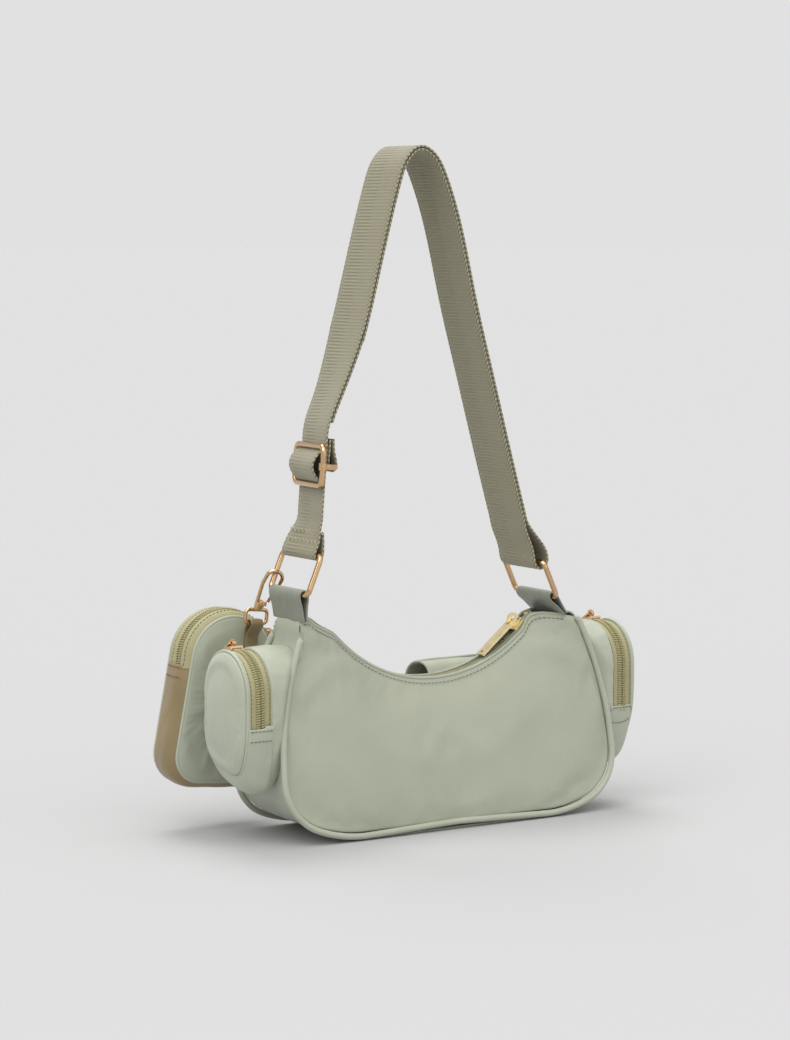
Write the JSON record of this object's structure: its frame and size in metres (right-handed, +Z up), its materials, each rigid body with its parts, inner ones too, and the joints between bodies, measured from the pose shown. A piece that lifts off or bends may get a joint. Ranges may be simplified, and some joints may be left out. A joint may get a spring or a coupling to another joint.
{
  "type": "crossbody purse",
  "caption": "Crescent crossbody purse with arched zip mouth, zipped side pockets, flap pocket, hanging zip pouch and adjustable webbing strap.",
  "frame": {"origin": "middle of the bag's base, on the surface it stands on", "axes": "+X along the bag, +Y towards its front (the flap pocket side), +Z up"},
  "size_m": [0.3096, 0.1077, 0.4255],
  "materials": {
    "shell_nylon": "satin sage nylon, padded",
    "gusset_nylon": "satin nylon, a little lighter and greener",
    "lining": "thin woven lining",
    "board": "matt stiffener",
    "zip_tape": "woven olive yellow tape",
    "zip_coil": "nylon coil",
    "webbing": "ribbed webbing with striped selvages",
    "pouch_leather": "smooth olive brown leather",
    "hardware": "polished pale rose gold plate",
    "pale_brass": "brushed pale brass",
    "snap_metal": "plain steel"
  },
  "bodies": {
    "bag": {"gusset": "gusset_nylon", "back_panel": "shell_nylon", "front_panel": "shell_nylon", "back_piping": "gusset_nylon", "front_piping": "gusset_nylon", "lining": "lining", "base_board": "board", "slip_pocket": "lining", "main_zip_tape_back": "zip_tape", "main_zip_tape_front": "zip_tape", "main_zip_coil": "zip_coil", "main_zip_stops": "zip_coil", "left_pocket_band": "gusset_nylon", "left_pocket_patch": "gusset_nylon", "left_pocket_face": "gusset_nylon", "left_pocket_zip_tape": "zip_tape", "left_pocket_coil": "zip_coil", "right_pocket_band": "gusset_nylon", "right_pocket_patch": "gusset_nylon", "right_pocket_face": "gusset_nylon", "right_pocket_zip_tape": "zip_tape", "right_pocket_coil": "zip_coil", "front_pocket": "shell_nylon", "flap_root": "shell_nylon", "snap_socket": "snap_metal"},
    "front_flap": {"front_flap": "shell_nylon", "snap_cap": "snap_metal"},
    "main_slider": {"main_slider": "pale_brass"},
    "main_pull": {"main_pull": "pale_brass"},
    "left_pocket_slider": {"left_pocket_slider": "hardware"},
    "left_pocket_pull": {"left_pocket_pull": "hardware"},
    "right_pocket_slider": {"right_pocket_slider": "hardware"},
    "right_pocket_pull": {"right_pocket_pull": "hardware"},
    "tabs": {"left_tab": "webbing", "right_tab": "webbing"},
    "left_ring": {"left_ring": "hardware"},
    "strap": {"strap_webbing": "webbing"},
    "right_ring": {"right_ring": "hardware"},
    "adjuster": {"adjuster_frame": "hardware"},
    "adjuster_bar": {"adjuster_bar": "hardware", "strap_end_loop": "webbing"},
    "snap_hook": {"snap_hook": "hardware"},
    "hook_gate": {"hook_gate": "hardware"},
    "swivel_eye": {"swivel_eye": "hardware"},
    "pouch": {"pouch_back_face": "gusset_nylon", "pouch_front_face": "gusset_nylon", "pouch_leather": "pouch_leather", "pouch_zip_tape": "zip_tape", "pouch_coil": "zip_coil", "pouch_loop": "pouch_leather"},
    "pouch_slider": {"pouch_slider": "hardware"},
    "pouch_pull": {"pouch_pull": "hardware"}
  },
  "joints": [
    {"name": "flap_lift", "type": "hinge", "parent": "bag", "child": "front_flap", "pos_m": [0.033, 0.017, 0.098], "axis": [1, 0, 0], "range_deg": [0, 90]},
    {"name": "main_zip", "type": "hinge", "parent": "bag", "child": "main_slider", "pos_m": [0, 0, 0.192], "axis": [0, 1, 0], "range_deg": [0, 85]},
    {"name": "main_pull_lift", "type": "hinge", "parent": "main_slider", "child": "main_pull", "pos_m": [0.06449, 0, 0.12404], "axis": [0, 1, 0], "range_deg": [0, 100]},
    {"name": "left_pocket_zip", "type": "hinge", "parent": "bag", "child": "left_pocket_slider", "pos_m": [-0.1366, 0, 0.093], "axis": [1, 0, 0], "range_deg": [-60, 95]},
    {"name": "left_pull_lift", "type": "hinge", "parent": "left_pocket_slider", "child": "left_pocket_pull", "pos_m": [-0.1366, 0.00893, 0.1222], "axis": [1, 0, 0], "range_deg": [0, 100]},
    {"name": "right_pocket_zip", "type": "hinge", "parent": "bag", "child": "right_pocket_slider", "pos_m": [0.1326, 0, 0.093], "axis": [1, 0, 0], "range_deg": [-60, 95]},
    {"name": "right_pull_lift", "type": "hinge", "parent": "right_pocket_slider", "child": "right_pocket_pull", "pos_m": [0.1326, 0.00893, 0.1222], "axis": [1, 0, 0], "range_deg": [0, 100]},
    {"name": "strap_swing", "type": "hinge", "parent": "bag", "child": "tabs", "pos_m": [-0.101, 0, 0.1382], "axis": [0.999, 0, -0.0446], "range_deg": [-20, 20], "deforming": ["left_tab", "right_tab"]},
    {"name": "strap_sway", "type": "hinge", "parent": "tabs", "child": "left_ring", "pos_m": [-0.102, 0, 0.152], "axis": [0, 1, 0], "range_deg": [-10, 10]},
    {"name": "left_ring_turn", "type": "hinge", "parent": "left_ring", "child": "strap", "pos_m": [-0.092, 0, 0.176], "axis": [0, 1, 0], "range_deg": [-13, 13]},
    {"name": "right_ring_turn", "type": "hinge", "parent": "strap", "child": "right_ring", "pos_m": [0.0725, 0, 0.1625], "axis": [0, 1, 0], "range_deg": [-14, 14]},
    {"name": "strap_adjust", "type": "slide", "parent": "strap", "child": "adjuster", "axis": [0.0797, 0, 0.9968], "range_m": [-0.015, 0]},
    {"name": "adjuster_bar_slip", "type": "slide", "parent": "adjuster", "child": "adjuster_bar", "axis": [0.0797, 0, 0.9968], "range_m": [-0.004, 0.004]},
    {"name": "hook_swing", "type": "hinge", "parent": "left_ring", "child": "snap_hook", "pos_m": [-0.09908, 0.02094, 0.16039], "axis": [1, 0, 0], "range_deg": [-16, 16]},
    {"name": "hook_gate_press", "type": "hinge", "parent": "snap_hook", "child": "hook_gate", "pos_m": [-0.10023, 0.03104, 0.14152], "axis": [0.3919, 0.821, 0.4151], "range_deg": [-5, 0], "stiffness_Nm_per_rad": 0.01, "springref_deg": 17.19},
    {"name": "swivel_turn", "type": "hinge", "parent": "snap_hook", "child": "swivel_eye", "pos_m": [-0.10367, 0.03242, 0.14203], "axis": [0.2074, -0.5185, 0.8296], "range_deg": [-12, 8]},
    {"name": "pouch_swing", "type": "hinge", "parent": "swivel_eye", "child": "pouch", "pos_m": [-0.10556, 0.03535, 0.12933], "axis": [1, 0, 0], "range_deg": [0, 38]},
    {"name": "pouch_zip", "type": "hinge", "parent": "pouch", "child": "pouch_slider", "pos_m": [-0.1175, 0.057, 0.106], "axis": [0, 1, 0], "range_deg": [-140, 15]},
    {"name": "pouch_pull_lift", "type": "hinge", "parent": "pouch_slider", "child": "pouch_pull", "pos_m": [-0.08433, 0.057, 0.12008], "axis": [0, 1, 0], "range_deg": [-100, 0]}
  ],
  "couplings": [
    {"joint": "left_ring_turn", "follows": "strap_sway", "ratio": -1.1324},
    {"joint": "right_ring_turn", "follows": "strap_sway", "ratio": 1.2536},
    {"joint": "hook_swing", "follows": "strap_swing", "ratio": -0.75}
  ]
}
